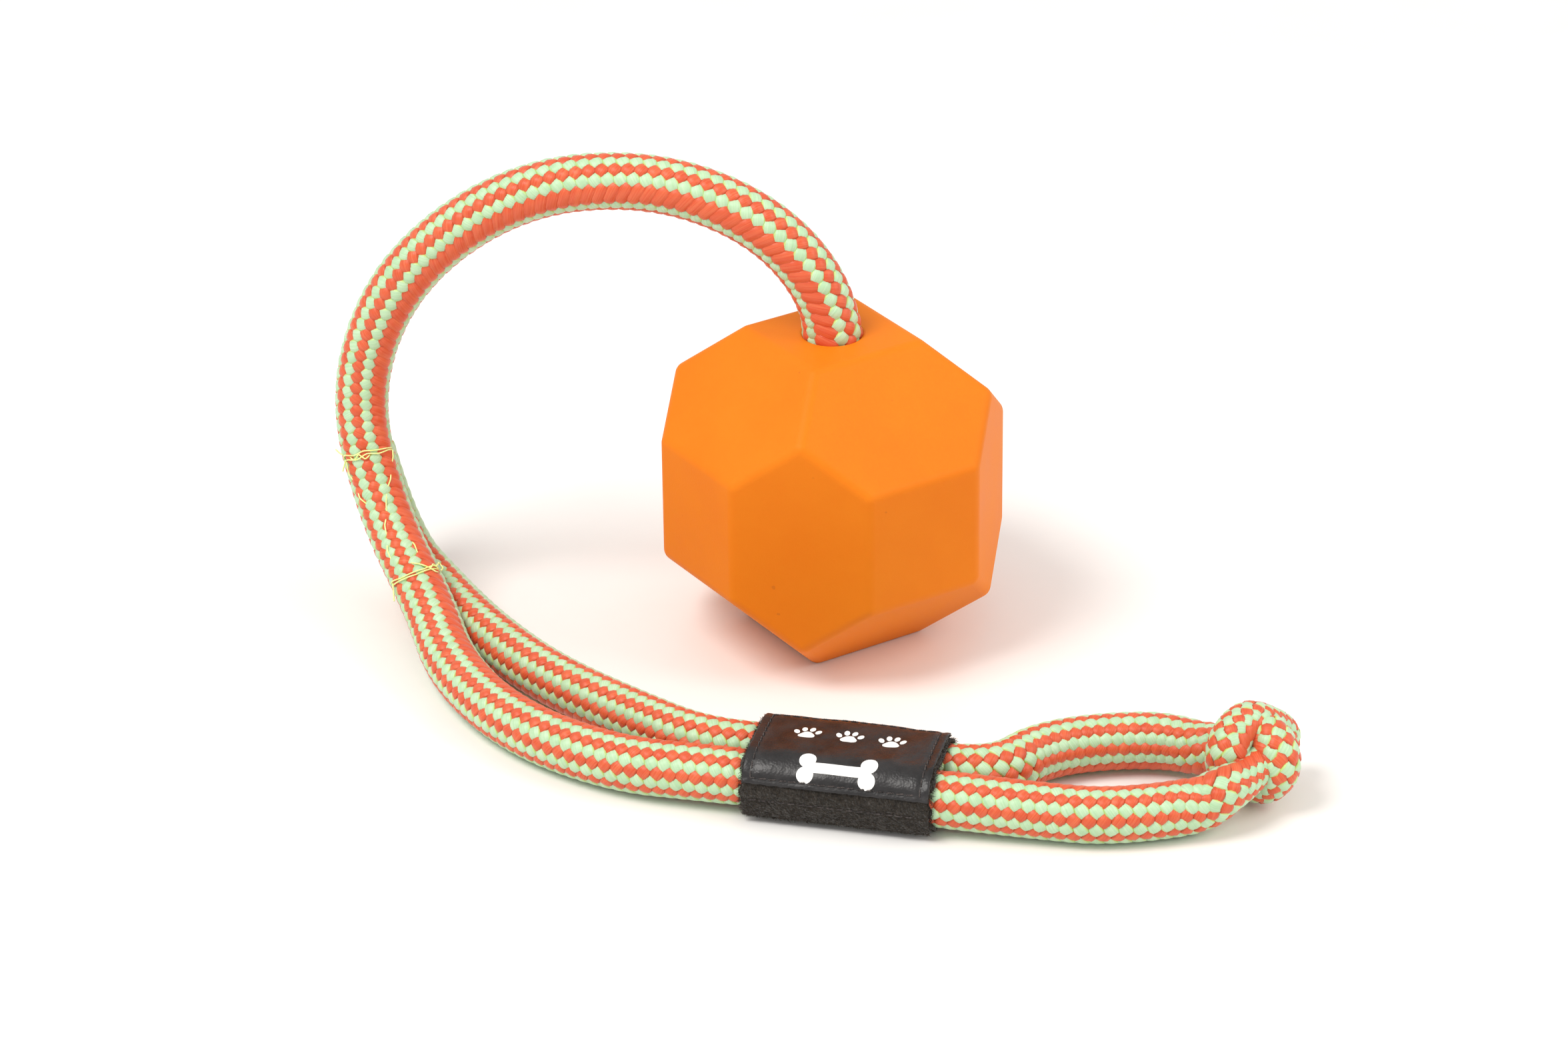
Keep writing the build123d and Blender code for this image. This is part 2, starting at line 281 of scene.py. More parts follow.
class Shader:
    """A material's node tree with short calls for the nodes used here."""

    def __init__(self, name, **sockets):
        self.material = bpy.data.materials.new(name)
        self.material.use_nodes = True
        self.tree = self.material.node_tree
        self.shader = self.tree.nodes["Principled BSDF"]
        for socket, value in sockets.items():
            self.shader.inputs[socket.replace("_", " ")].default_value = value

    def node(self, kind, **settings):
        made = self.tree.nodes.new(kind)
        for key, value in settings.items():
            setattr(made, key, value)
        return made

    def link(self, out, into):
        self.tree.links.new(out, into)

    def place(self, scale=(1.0, 1.0, 1.0), attribute=None):
        """Coordinates to texture with: a named attribute, or the object's own metres."""
        if attribute:
            source = self.node("ShaderNodeAttribute", attribute_name=attribute).outputs["Vector"]
        else:
            source = self.node("ShaderNodeTexCoord").outputs["Object"]
        mapping = self.node("ShaderNodeMapping")
        mapping.inputs["Scale"].default_value = scale
        self.link(source, mapping.inputs["Vector"])
        return mapping.outputs["Vector"]

    def noise(self, vector, scale, detail=4.0, roughness=0.55):
        made = self.node("ShaderNodeTexNoise")
        made.inputs["Scale"].default_value = scale
        made.inputs["Detail"].default_value = detail
        made.inputs["Roughness"].default_value = roughness
        self.link(vector, made.inputs["Vector"])
        return made.outputs["Fac"]

    def cells(self, vector, scale):
        made = self.node("ShaderNodeTexVoronoi", feature="F1")
        made.inputs["Scale"].default_value = scale
        self.link(vector, made.inputs["Vector"])
        return made.outputs["Distance"]

    def ramp(self, value, *stops):
        made = self.node("ShaderNodeValToRGB")
        elements = made.color_ramp.elements
        while len(elements) < len(stops):
            elements.new(0.5)
        for element, (at, colour) in zip(elements, stops):
            element.position = at
            element.color = (*colour, 1.0) if len(colour) == 3 else colour
        self.link(value, made.inputs["Fac"])
        return made.outputs["Color"]

    def mix(self, factor, a, b, blend="MIX"):
        made = self.node("ShaderNodeMix", data_type="RGBA", blend_type=blend)
        for value, socket in ((factor, made.inputs["Factor"]), (a, made.inputs["A"]), (b, made.inputs["B"])):
            if isinstance(value, bpy.types.NodeSocket):
                self.link(value, socket)
            elif isinstance(value, (int, float)):
                socket.default_value = value
            else:
                socket.default_value = (*value, 1.0)
        return made.outputs["Result"]

    def math(self, operation, a, b=0.0):
        made = self.node("ShaderNodeMath", operation=operation)
        for value, socket in ((a, made.inputs[0]), (b, made.inputs[1])):
            if isinstance(value, bpy.types.NodeSocket):
                self.link(value, socket)
            else:
                socket.default_value = value
        return made.outputs["Value"]

    def bump(self, height, distance, strength=1.0, after=None):
        made = self.node("ShaderNodeBump")
        made.inputs["Strength"].default_value = strength
        made.inputs["Distance"].default_value = distance
        self.link(height, made.inputs["Height"])
        if after:
            self.link(after, made.inputs["Normal"])
        return made.outputs["Normal"]

    def finish(self, colour=None, roughness=None, normal=None):
        for value, socket in ((colour, "Base Color"), (roughness, "Roughness"), (normal, "Normal")):
            if value is not None:
                self.link(value, self.shader.inputs[socket])
        return self.material


def grey(value):
    return (value, value, value)


def yarn_material(name, middle, light, edge, deep):
    """Shiny polypropylene yarn. The attribute holds the travel along it, -1 to 1 across it, and its number.
    The edge colour on the yarn's sides is painted crevice light and shade.
    """
    m = Shader(name, Roughness=0.4, Specular_IOR_Level=0.45, Sheen_Weight=0.15, Sheen_Roughness=0.4)
    fibres = m.noise(m.place((160.0, 7.0, 3.0), "fibre"), 1.0, 3.0, 0.6)
    drift = m.noise(m.place((90.0, 0.6, 5.0), "fibre"), 1.0, 2.0)
    across = m.node("ShaderNodeSeparateXYZ")
    m.link(m.node("ShaderNodeAttribute", attribute_name="fibre").outputs["Vector"], across.inputs["Vector"])
    painted_crevice_mask = m.math("ABSOLUTE", across.outputs["Y"])
    colour = m.mix(m.ramp(fibres, (0.35, grey(0.0)), (0.68, grey(1.0))), middle, light)
    colour = m.mix(m.ramp(drift, (0.35, grey(0.0)), (0.75, grey(0.5))), colour, deep)
    # painted light and shade: the yarn's sides, where they turn down between the yarns, get the edge colour,
    # yellower and more saturated on green, darker on orange
    colour = m.mix(m.ramp(painted_crevice_mask, (0.66, grey(0.0)), (0.98, grey(0.85))), colour, edge)
    rough = m.ramp(fibres, (0.3, grey(0.3)), (0.75, grey(0.52)))
    return m.finish(colour, rough, m.bump(fibres, 0.00012, 0.55))


green_yarn = yarn_material(
    "green_yarn",
    middle=(0.44, 0.66, 0.40),
    light=(0.58, 0.76, 0.52),
    # edge: painted crevice light, the saturated yellow-green given to the yarn's sides
    edge=(0.58, 0.74, 0.10),
    deep=(0.32, 0.56, 0.29),
)
orange_yarn = yarn_material(
    "orange_yarn",
    middle=(0.68, 0.085, 0.024),
    light=(0.76, 0.17, 0.065),
    # edge: painted crevice shade, the darker orange given to the yarn's sides
    edge=(0.52, 0.065, 0.014),
    deep=(0.54, 0.045, 0.012),
)


def core_material():
    """The dull inside of the rope, seen only between the yarns and at its cut end. Its dark brown-red is
    painted shade, so the gaps between the yarns read as shadow.
    """
    m = Shader("rope_core", Roughness=0.8)
    grain = m.noise(m.place((1.0, 1.0, 1.0)), 900.0, 3.0)
    # painted shade: the dark brown-red that the gaps between the yarns show
    colour = m.ramp(grain, (0.3, (0.34, 0.045, 0.016)), (0.7, (0.50, 0.085, 0.028)))
    return m.finish(colour, None, m.bump(grain, 0.0002, 0.6))


def rubber_material():
    """Satin moulded rubber: a fine skin, faint cloudiness and a few specks."""
    m = Shader(
        "ball_rubber", Roughness=0.55, Specular_IOR_Level=0.16, Subsurface_Weight=0.12, Subsurface_Scale=0.004
    )
    m.shader.inputs["Subsurface Radius"].default_value = (1.0, 0.35, 0.08)
    place = m.place()
    cloud = m.noise(place, 38.0, 4.0, 0.6)
    skin = m.noise(place, 2600.0, 3.0, 0.6)
    pits = m.cells(place, 330.0)
    colour = m.ramp(cloud, (0.30, (0.76, 0.182, 0.004)), (0.72, (0.80, 0.212, 0.007)))
    speck = m.noise(place, 520.0, 1.0, 0.4)
    colour = m.mix(m.ramp(speck, (0.790, grey(0.0)), (0.815, grey(0.35))), colour, (0.46, 0.10, 0.012))
    rough = m.ramp(cloud, (0.25, grey(0.48)), (0.75, grey(0.60)))
    normal = m.bump(skin, 0.00008, 0.35)
    normal = m.bump(m.ramp(pits, (0.0, grey(0.0)), (0.12, grey(1.0))), 0.00006, 0.25, normal)
    return m.finish(colour, rough, normal)


def leatherette_material():
    """Black coated fabric: fine pebble grain, soft creases and worn grey high spots."""
    m = Shader("leatherette", Roughness=0.34, Specular_IOR_Level=0.34, Coat_Weight=0.08, Coat_Roughness=0.3)
    place = m.place()
    pebbles = m.cells(place, 2100.0)
    creases = m.noise(place, 260.0, 5.0, 0.62)
    rubbed = m.noise(place, 90.0, 3.0)
    colour = m.ramp(creases, (0.32, (0.010, 0.0095, 0.010)), (0.72, (0.030, 0.028, 0.029)))
    colour = m.mix(m.ramp(rubbed, (0.52, grey(0.0)), (0.78, grey(0.35))), colour, (0.055, 0.050, 0.050))
    rough = m.ramp(rubbed, (0.3, grey(0.27)), (0.7, grey(0.43)))
    normal = m.bump(m.ramp(pebbles, (0.0, grey(1.0)), (0.75, grey(0.0))), 0.00006, 0.5)
    return m.finish(colour, rough, m.bump(creases, 0.00018, 0.55, normal))


def fuzzy_material(name, dark, light, scale):
    """Brushed loop fabric: a tangle of dull fibres with brown high lights."""
    m = Shader(name, Roughness=0.92, Specular_IOR_Level=0.2, Sheen_Weight=0.25, Sheen_Roughness=0.6)
    place = m.place()
    tangle = m.noise(place, scale, 6.0, 0.75)
    knots = m.cells(place, scale * 1.3)
    colour = m.ramp(tangle, (0.36, dark), (0.72, light))
    normal = m.bump(tangle, 0.0004, 0.9)
    return m.finish(colour, None, m.bump(knots, 0.0003, 0.6, normal))


def plain_thread(name, colour, light, roughness):
    m = Shader(name, Roughness=roughness, Specular_IOR_Level=0.4)
    grain = m.noise(m.place(), 2400.0, 3.0)
    return m.finish(m.ramp(grain, (0.35, colour), (0.7, light)), None, m.bump(grain, 0.00006, 0.5))


def print_material():
    """White plastic ink, a little uneven, with the grain of the label showing through."""
    m = Shader("white_ink", Roughness=0.42, Specular_IOR_Level=0.45)
    place = m.place()
    worn = m.noise(place, 700.0, 4.0, 0.6)
    colour = m.ramp(worn, (0.28, (0.74, 0.73, 0.72)), (0.42, (0.90, 0.89, 0.87)))
    return m.finish(colour, None, m.bump(m.cells(place, 2100.0), 0.00004, 0.4))


rubber = rubber_material()
# The core's dark colour is painted shade for the gaps between the yarns.
painted_shade_core = core_material()
leatherette = leatherette_material()
loop_tape = fuzzy_material("loop_tape", (0.008, 0.006, 0.004), (0.050, 0.038, 0.026), 1500.0)
loop_fibre = plain_thread("loop_fibre", (0.012, 0.009, 0.006), (0.070, 0.052, 0.036), 0.7)
hook_tape = fuzzy_material("hook_tape", (0.010, 0.010, 0.011), (0.032, 0.032, 0.034), 1100.0)
black_thread = plain_thread("black_thread", (0.012, 0.010, 0.010), (0.11, 0.09, 0.085), 0.45)
splice_thread = plain_thread("splice_thread", (0.74, 0.84, 0.22), (0.92, 0.95, 0.50), 0.45)
white_ink = print_material()

# --- Rope ---------------------------------------------------------------------------------------------

rope = Rope("rope_route", lead_points + knot_points + return_points)
rope.thin(
    [
        ((0, 0, 0.038), 4.6),
        ((0, 0, 0.0500), 4.9),
        ((0, 0, 0.0565), 5.2),
        ((0, 0, 0.0598), 5.7),
        ((0, 0, 0.0640), 5.35),
        ((-0.012, 0.003, 0.080), 5.3),
        ((-0.080, 0.016, 0.066), 5.3),
        ((-0.0868, 0.0133, 0.030), 5.0),
        ((-0.0795, 0.0, 0.0143), 4.95),
        ((-0.070, -0.027, 0.0053), 5.05),
        ((-0.0195, -0.0673, 0.00595), 5.1),
        ((-0.0140, -0.0687, 0.00595), 4.9),
        ((0.0140, -0.0757, 0.00595), 4.9),
        ((0.0195, -0.0771, 0.00595), 5.1),
        ((0.0605, -0.0792, 0.0054), 5.0),
        ((0.0654, -0.0783, 0.0072), 4.6),
        ((0.0700, -0.0750, 0.0086), 3.8),
        ((0.0744, -0.0695, 0.0096), 3.5),
        ((0.0772, -0.0620, 0.0102), 3.55),
        ((0.0735, -0.0655, 0.0145), 3.8),
        ((0.0676, -0.0712, 0.0110), 3.9),
        ((0.0690, -0.0690, 0.0042), 3.7),
        ((0.0730, -0.0698, 0.0044), 3.65),
        ((0.0763, -0.0715, 0.0080), 4.2),
        ((0.0755, -0.0694, 0.0120), 4.2),
        ((0.0722, -0.0642, 0.0090), 4.0),
        ((0.0655, -0.0606, 0.0060), 4.8),
        ((0.0560, -0.0550, 0.0055), 5.2),
        ((0.0230, -0.0675, 0.00595), 5.1),
        ((0.0170, -0.0661, 0.00595), 4.9),
        ((-0.0110, -0.0591, 0.00595), 4.9),
        ((-0.0170, -0.0570, 0.00595), 5.0),
        ((-0.073, 0.004, 0.0060), 5.0),
        ((-0.0870, 0.0230, 0.0260), 4.6),
    ]
)
rope.turn(
    [
        ((0, 0, 0.050), 66.0),
        ((-0.0330, 0.008, 0.0880), 62.0),
        ((-0.0868, 0.0133, 0.030), 4.0),
        ((-0.0700, -0.027, 0.0053), 4.0),
        ((0.0580, -0.0797, 0.0053), 8.0),
        ((0.0744, -0.0695, 0.0096), 80.0),
        ((0.0678, -0.0707, 0.0136), 112.0),
        ((0.0755, -0.0694, 0.0120), 112.0),
        ((0.0620, -0.0580, 0.0057), 34.0),
        ((-0.0360, -0.0450, 0.0052), 40.0),
        ((-0.0870, 0.0230, 0.0260), 45.0),
    ]
)
rope.tighten((0.0654, -0.0783, 0.0072), (0.0659, -0.0606, 0.0058))
stop = Rope("stop_route", stop_points)
stop.scale = np.full(len(stop.s), 0.80)

column_step = 2 * math.pi / len(column_top)
yarn_step = 2 * math.pi / yarns
section = np.linspace(0, math.pi, 5)  # the yarn's outer face, then two points under it
section_across = np.concatenate([np.cos(section), [-0.62, 0.62]])
section_out = np.concatenate([np.sin(section) ** 0.8, [-0.75, -0.75]])


def on_top(angle):
    """+1 where the green yarns lie on top at an angle round the rope, -1 where the orange ones do."""
    at = (angle / column_step) % len(column_top)
    before = np.floor(at).astype(int)
    share = at - before
    share = share * share * (3 - 2 * share)
    a, b = column_top[before % len(column_top)], column_top[(before + 1) % len(column_top)]
    return a + (b - a) * share


def yarn_piece(name, rope, hand, numbers, material):
    """Some of the rope's yarns of one hand, +1 green or -1 orange, as one mesh."""
    verts, faces, fibre, first = [], [], [], 0
    sides = len(section_across)
    for k in numbers:
        lay = hand * (k * yarn_step + rope.lay)
        top = hand * on_top(lay)
        angle = lay + rope.roll
        r = (yarn_r + yarn_rise * top) * rope.scale
        out = np.cos(angle)[:, None] * rope.side + np.sin(angle)[:, None] * rope.up
        middle = rope.p + out * r[:, None]
        tangent = unit(np.gradient(middle, axis=0))
        out = unit(out - tangent * (out * tangent).sum(axis=1, keepdims=True))
        across = np.cross(tangent, out)
        width = yarn_half_width * (1 + top_swell * top) * rope.scale * (1 + knot_swell * rope.tight)
        thick = yarn_half_thick * rope.scale
        points = (
            middle[:, None]
            + across[:, None] * (width[:, None] * section_across)[:, :, None]
            + out[:, None] * (thick[:, None] * section_out)[:, :, None]
        )
        run = np.repeat(rope.s[:, None] * fibre_run, sides, axis=1)
        over = np.broadcast_to(section_across, run.shape)
        number = np.full(run.shape, float(k) * fibre_shift + hand)
        verts.append(points.reshape(-1, 3))
        fibre.append(np.stack([run, over, number], axis=-1).reshape(-1, 3))
        faces += tube_faces(len(rope.s), sides, first)
        first += len(rope.s) * sides
    attributes = [("fibre", np.concatenate(fibre))]
    return mesh_piece(name, np.concatenate(verts), faces, material, "rope", attributes)


def core_piece(name, rope, sides=20):
    """The round inside of the rope, under the yarns."""
    every = 3  # one ring for so many of the rope's steps
    keep = np.append(np.arange(0, len(rope.s) - 1, every), len(rope.s) - 1)
    angle = np.linspace(0, 2 * math.pi, sides, endpoint=False)
    ring = np.cos(angle)[None, :, None] * rope.side[keep][:, None]
    ring = ring + np.sin(angle)[None, :, None] * rope.up[keep][:, None]
    points = rope.p[keep][:, None] + ring * (core_r * rope.scale[keep])[:, None, None]
    faces = tube_faces(len(keep), sides)
    return mesh_piece(name, points.reshape(-1, 3), faces, painted_shade_core, "rope")


halves = (range(0, yarns, 2), range(1, yarns, 2))
core = core_piece("rope_core", rope)
rope_yarns = [
    yarn_piece("green_yarns_even", rope, 1, halves[0], green_yarn),
    yarn_piece("green_yarns_odd", rope, 1, halves[1], green_yarn),
    yarn_piece("orange_yarns_even", rope, -1, halves[0], orange_yarn),
    yarn_piece("orange_yarns_odd", rope, -1, halves[1], orange_yarn),
]
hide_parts("rope_lead", "rope_splice", "front_strand", "back_strand", "rope_tail", "handle_knot")
stop_core = core_piece("stop_knot_core", stop, 16)
stop_green = yarn_piece("stop_knot_green", stop, 1, range(yarns), green_yarn)
stop_orange = yarn_piece("stop_knot_orange", stop, -1, range(yarns), orange_yarn)
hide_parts("stop_knot")

# --- Splice sewing ------------------------------------------------------------------------------------

upper_at = rope.at((-0.08675, 0.01325, 0.030))
lower_at = rope.at((-0.0795, 0.0, 0.01425))
seams_apart = lower_at - upper_at


def sewn(s, angle, lift):
    """A thread's line over the braid.

    s is 0 at the upper seam's CAD node and 1 at the lower's, angle is in degrees and lift in millimetres.
    """
    s, angle, lift = (np.array(x, float) for x in (s, angle, lift))
    ends = np.linspace(0, 1, len(s))
    fine = np.linspace(0, 1, 6 * len(s))
    s, angle, lift = (np.interp(fine, ends, x) for x in (s, angle, lift))
    at = upper_at + s * seams_apart
    r = rope_outer * np.interp(at, rope.s, rope.scale) + lift * MM
    line = rope.around(at, np.radians(angle), r)
    for _ in range(2):
        line[1:-1] = 0.25 * line[:-2] + 0.5 * line[1:-1] + 0.25 * line[2:]
    return line


# Each seam goes twice round the front with a tangle over it, has loose ends, and has stitches along the rope.
upper_lines = [
    sewn(
        [0.02, -0.04, -0.02, -0.05, -0.03, -0.02, 0.0],
        [152, 122, 96, 72, 50, 22, -14],
        [-0.5, 0.2, -0.1, 0.2, 0.0, 0.2, -0.4],
    ),
    sewn(
        [0.05, 0.0, 0.02, -0.02, 0.01, 0.0, 0.03],
        [150, 118, 90, 66, 42, 14, -18],
        [-0.5, 0.1, 0.2, 0.0, 0.2, 0.1, -0.4],
    ),
    sewn([-0.02, 0.02, -0.03, 0.03, 0.0], [112, 96, 84, 72, 60], [-0.3, 0.2, 0.1, 0.2, -0.3]),
    sewn([-0.04, -0.06, -0.09], [128, 136, 142], [0.2, 0.5, 0.9]),
    sewn([0.0, 0.05, 0.09], [121, 128, 134], [0.2, 0.5, 0.8]),
    sewn([0.02, 0.08, 0.16], [2, 8, 13], [0.1, 0.2, -0.5]),
    sewn([0.20, 0.28, 0.36], [20, 32, 43], [-0.5, 0.2, -0.5]),
    sewn([0.38, 0.48, 0.58], [47, 56, 63], [-0.5, 0.2, -0.5]),
    sewn([0.02, 0.12, 0.22], [121, 124, 120], [0.1, 0.2, -0.5]),
    sewn([0.26, 0.36, 0.46], [119, 111, 97], [-0.5, 0.2, -0.5]),
]
lower_lines = [
    sewn(
        [1.16, 1.22, 1.28, 1.30, 1.30, 1.26, 1.24],
        [150, 118, 92, 68, 42, 14, -18],
        [-0.5, 0.2, 0.0, 0.2, 0.1, 0.2, -0.4],
    ),
    sewn(
        [1.20, 1.25, 1.31, 1.33, 1.32, 1.29, 1.26],
        [152, 122, 88, 62, 38, 12, -14],
        [-0.5, 0.1, 0.2, 0.0, 0.2, 0.1, -0.4],
    ),
    sewn([1.18, 1.24, 1.28, 1.34, 1.31], [60, 44, 30, 16, 4], [-0.3, 0.2, 0.1, 0.25, -0.2]),
    sewn([1.24, 1.30, 1.24, 1.28], [40, 26, 14, 2], [-0.2, 0.3, 0.2, 0.1]),
    sewn([1.24, 1.32, 1.40], [120, 127, 131], [0.2, 0.5, 0.9]),
    sewn([1.27, 1.24, 1.20, 1.26, 1.30], [10, 2, -6, -10, -2], [0.2, 0.5, 0.4, 0.6, 0.3]),
    sewn([0.62, 0.70, 0.80], [68, 76, 84], [-0.5, 0.2, -0.5]),
    sewn([0.86, 0.94, 1.04], [90, 94, 100], [-0.5, 0.2, -0.5]),
    sewn([0.96, 1.02, 1.10], [33, 36, 34], [-0.5, 0.2, -0.5]),
]
upper_r, lower_r = 0.13 * MM, 0.14 * MM
upper_seam = tubes_piece("upper_seam_sewing", upper_lines, upper_r, 8, splice_thread, "rope")
lower_seam = tubes_piece("lower_seam_sewing", lower_lines, lower_r, 8, splice_thread, "rope")
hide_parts("upper_seam_thread")
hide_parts("lower_seam_thread")

# --- Sleeve -------------------------------------------------------------------------------------------

# The wrap is described by t, the travel round the two strands from the middle of the flat top, positive to the
# front, by z, the travel along them to the right, and by r, the distance out from the strands' axes.
sleeve_centre = np.array((0.00152, -0.0674, 0.00595))
sleeve_yaw = math.radians(-14.04)
wrap_along = np.array((math.cos(sleeve_yaw), math.sin(sleeve_yaw), 0.0))
wrap_back = np.array((-math.sin(sleeve_yaw), math.cos(sleeve_yaw), 0.0))
wrap_up = np.array((0.0, 0.0, 1.0))
wrap_flat = 5.05 * MM  # half the distance between the strands
wrap_r = 6.3 * MM  # t is measured at this distance out
sleeve_half = 17.0 * MM
flap_half = 16.6 * MM
band_inner, band_outer = 5.2 * MM, 5.8 * MM
backing_inner, backing_outer = 5.95 * MM, 6.3 * MM
label_outer = 6.6 * MM
wrap_round = 4 * wrap_flat + 2 * math.pi * wrap_r
hang_turn = math.radians(108)  # past here the flap's free end hangs straight


def front_t(angle):
    """The travel to an angle above the front of the front strand."""
    return wrap_flat + wrap_r * math.radians(90 - angle)


def rear_t(angle):
    """The travel to an angle past the top of the rear strand."""
    return -wrap_flat - wrap_r * math.radians(angle)


def wrapped(t, z, r, hanging=False):
    """Places on the wrap. The flap's free end hangs; everything else goes on round the strands."""
    t, z, r = np.broadcast_arrays(*(np.asarray(x, float) for x in (t, z, r)))
    u = np.mod(t + wrap_round / 2, wrap_round) - wrap_round / 2
    turn = np.clip((np.abs(u) - wrap_flat) / wrap_r, 0, math.pi)
    under = np.maximum(np.abs(u) - wrap_flat - math.pi * wrap_r, 0)
    hangs = hanging & (u > 0) & (turn > hang_turn)
    drop = np.where(hangs, (turn - hang_turn) * wrap_r, 0)
    turn = np.where(hangs, hang_turn, turn)
    side = np.minimum(np.abs(u), wrap_flat) + r * np.sin(turn) + drop * math.cos(hang_turn) - under
    x = -np.sign(u) * side
    y = r * np.cos(turn) - drop * math.sin(hang_turn)
    return sleeve_centre + x[..., None] * wrap_back + y[..., None] * wrap_up + z[..., None] * wrap_along


def ripple(t, z, size, seed):
    """A smooth, uneven height between -1 and 1."""
    t, z = np.broadcast_arrays(np.asarray(t, float), np.asarray(z, float))
    total = np.zeros(t.shape)
    rng = np.random.default_rng(seed)
    for _ in range(7):
        turn, phase = rng.uniform(0, 2 * math.pi, 2)
        pitch = size * rng.uniform(0.6, 1.8)
        total = total + np.sin((t * math.cos(turn) + z * math.sin(turn)) * 2 * math.pi / pitch + phase)
    return total / 3.2


def seam_lines(t, z):
    """Nearness, 0 to 1, to the label's four sewing lines."""
    nearness = np.zeros(np.broadcast(t, z).shape)
    for distance in (t - top_seam_t, t - bottom_seam_t, z - end_seam_z, z + end_seam_z):
        nearness = np.maximum(nearness, np.exp(-((distance / (0.55 * MM)) ** 2)))
    return nearness


top_seam_t = rear_t(21)
bottom_seam_t = front_t(31)
strip_seam_t = front_t(-6)
flap_rear_t = rear_t(30)
label_edge_t = front_t(22)
free_edge_t = front_t(-42)
end_seam_z = 15.1 * MM


def backing_height(t, z):
    """The backing's outer face."""
    dip = 0.10 * MM * np.exp(-(((t - strip_seam_t) / (0.5 * MM)) ** 2))
    return backing_outer + 0.05 * MM * ripple(t, z, 3.0 * MM, 5) - dip


def label_height(t, z):
    """The label's outer face: pulled down along its sewing, slightly full in between, with soft ripples."""
    full = 0.16 * MM * np.clip(1 - (z / flap_half) ** 2, 0, 1)
    soft = 0.10 * MM * ripple(t, z, 9.0 * MM, 2) + 0.03 * MM * ripple(t, z, 2.6 * MM, 3)
    return label_outer + full + soft - 0.16 * MM * seam_lines(t, z)


def slab(name, ts, zs, inner, outer, material, body, bulge=0.1 * MM, ragged=0.0, seed=1):
    """A closed sheet round the wrap, with rounded cut edges. inner and outer give its faces' distance out."""
    hanging = body == "flap"
    T, Z = np.meshgrid(ts, zs, indexing="ij")
    if ragged:
        end = np.clip((np.abs(Z) / np.abs(zs).max() - 0.9) / 0.1, 0, 1)
        Z = Z + np.sign(Z) * end * ragged * ripple(T, Z * 0, 1.3 * MM, seed)
        low = np.clip((T - ts[-1] + 1.2 * MM) / (1.2 * MM), 0, 1)
        T = T + low * ragged * ripple(T * 0, Z, 1.5 * MM, seed + 1)
    rows, cols = T.shape
    high, low = outer(T, Z), inner(T, Z)
    faces = []
    i, j = np.meshgrid(np.arange(rows - 1), np.arange(cols - 1), indexing="ij")
    a = (i * cols + j).ravel()
    upper = np.stack([a, a + cols, a + cols + 1, a + 1], axis=1)
    count = rows * cols
    faces += upper.tolist() + (upper[:, ::-1] + count).tolist()
    rim = [(0, k) for k in range(cols)] + [(k, cols - 1) for k in range(1, rows)]
    rim += [(rows - 1, k) for k in range(cols - 2, -1, -1)] + [(k, 0) for k in range(rows - 2, 0, -1)]
    edge = []
    for i, j in rim:
        out_t = bulge * (1 if i == rows - 1 else -1 if i == 0 else 0)
        out_z = bulge * (1 if j == cols - 1 else -1 if j == 0 else 0)
        edge.append((T[i, j] + out_t, Z[i, j] + out_z, 0.5 * (high[i, j] + low[i, j])))
    edge = np.array(edge)
    verts = np.concatenate(
        [
            wrapped(T, Z, high, hanging).reshape(-1, 3),
            wrapped(T, Z, low, hanging).reshape(-1, 3),
            wrapped(*edge.T, hanging),
        ]
    )
    for k, (i, j) in enumerate(rim):
        n = (k + 1) % len(rim)
        here, there = i * cols + j, rim[n][0] * cols + rim[n][1]
        faces.append([here, there, 2 * count + n, 2 * count + k])
        faces.append([2 * count + k, 2 * count + n, count + there, count + here])
    obj = mesh_piece(name, verts, faces, material, body)
    outward(obj)
    return obj


def outward(obj):
    work = bmesh.new()
    work.from_mesh(obj.data)
    bmesh.ops.recalc_face_normals(work, faces=work.faces)
    work.to_mesh(obj.data)
    work.free()


def closed_band():
    """The band: a tube of loop fabric round both strands, let in at the front for the hook strip."""
    around = 150
    zs = np.linspace(-sleeve_half, sleeve_half, 60)
    ts = np.arange(around) / around * wrap_round
    T, Z = np.meshgrid(ts, zs, indexing="ij")
    end = np.clip((np.abs(Z) / sleeve_half - 0.93) / 0.07, 0, 1)
    uneven = ripple(np.cos(2 * math.pi * T / wrap_round) * 9 * MM, T * 0, 3 * MM, 11)
    Z = Z + np.sign(Z) * end * 0.45 * MM * uneven
    let_in = (T > front_t(26)) & (T < front_t(-30))
    high = np.where(let_in, 5.45 * MM, band_outer) + 0.04 * MM * ripple(T, Z, 2.0 * MM, 12)
    high = high - 0.12 * MM * end
    low = np.full(T.shape, band_inner)
    rings = [wrapped(T, Z, high), wrapped(T, Z, low)[:, ::-1]]
    points = np.concatenate(rings, axis=1)
    rows, cols = points.shape[:2]
    i, j = np.meshgrid(np.arange(rows), np.arange(cols), indexing="ij")
    a, b = i * cols + j, i * cols + (j + 1) % cols
    c, d = ((i + 1) % rows) * cols + (j + 1) % cols, ((i + 1) % rows) * cols + j
    faces = np.stack([a, b, c, d], axis=-1).reshape(-1, 4).tolist()
    obj = mesh_piece("band_fabric", points.reshape(-1, 3), faces, loop_tape, "sleeve")
    outward(obj)
    return obj


